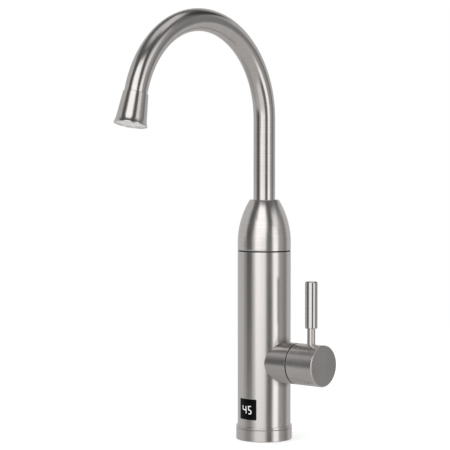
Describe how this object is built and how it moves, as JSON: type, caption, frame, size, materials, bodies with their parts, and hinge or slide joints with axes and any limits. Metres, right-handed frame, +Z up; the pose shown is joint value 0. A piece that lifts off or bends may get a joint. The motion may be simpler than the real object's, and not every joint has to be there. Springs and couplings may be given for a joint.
{
  "type": "electric instant water heater tap",
  "caption": "Deck-mounted electric instant water heater tap with a swivelling gooseneck spout, a side lever and a small display.",
  "frame": {"origin": "centre of the foot's lower face, on the axis of the shank socket", "axes": "+Z up the body, -Y to the front, where the display and the spout are at rest, +X along the valve's axis to the knob"},
  "size_m": [0.1048, 0.2391, 0.4303],
  "materials": {
    "satin_steel": "satin",
    "plain_steel": "machined",
    "brass": "machined",
    "rubber": "matte",
    "black_plastic": "matte",
    "white_plastic": "matte",
    "ceramic": "polished",
    "circuit_board": "matte",
    "transformer_yellow": "matte",
    "window_black": "gloss"
  },
  "bodies": {
    "body": {"base_ring": "satin_steel", "base_gasket": "rubber", "trim_ring": "satin_steel", "body_shell": "satin_steel", "valve_sleeve": "satin_steel", "display_window": "window_black", "base_block": "brass", "inlet_strainer": "plain_steel", "cable_gland": "black_plastic", "gland_nut": "black_plastic", "sensor_housing": "black_plastic", "sensor_cap": "black_plastic", "swirl_vane": "white_plastic", "turbine_axle": "plain_steel", "hall_sensor": "black_plastic", "valve_manifold": "brass", "valve_barrel": "brass", "port_seal": "rubber", "fixed_disc": "ceramic", "cartridge_body": "white_plastic", "cartridge_nut": "brass", "knob_slip_ring": "black_plastic", "heater_tank": "plain_steel", "tank_lid": "white_plastic", "outlet_seal": "rubber", "heating_element": "plain_steel", "element_nuts": "brass", "thermal_cutout": "black_plastic", "outlet_probe": "brass", "swivel_post": "brass", "post_seal": "rubber", "flange_screws": "plain_steel", "swivel_slip_ring": "black_plastic", "display_holder": "black_plastic", "display_board": "circuit_board", "digit_module": "black_plastic", "board_rail": "black_plastic", "control_board": "circuit_board", "relay": "black_plastic", "transformer": "transformer_yellow", "capacitors": "black_plastic", "terminal_block": "black_plastic"},
    "spout": {"spout_cap": "satin_steel", "spout_connector": "brass", "fixing_screw": "plain_steel", "spout_tube": "satin_steel", "aerator_housing": "satin_steel", "aerator_seal": "rubber", "aerator_insert": "white_plastic"},
    "lever": {"knob": "satin_steel", "knob_grub_screw": "plain_steel", "lever_stem": "satin_steel", "lever_grip": "satin_steel", "spindle": "white_plastic", "spindle_seal": "rubber", "moving_disc": "ceramic"},
    "turbine": {"flow_turbine": "white_plastic"}
  },
  "joints": [
    {"name": "spout_swivel", "type": "hinge", "parent": "body", "child": "spout", "pos_m": [0, 0, 0.2], "axis": [0, 0, 1], "continuous": true},
    {"name": "lever_turn", "type": "hinge", "parent": "body", "child": "lever", "pos_m": [0.0606, 0, 0.0796], "axis": [1, 0, 0], "range_deg": [-90, 90]},
    {"name": "turbine_spin", "type": "hinge", "parent": "body", "child": "turbine", "pos_m": [-0.007, 0, 0.032], "axis": [0, 0, 1], "continuous": true}
  ]
}
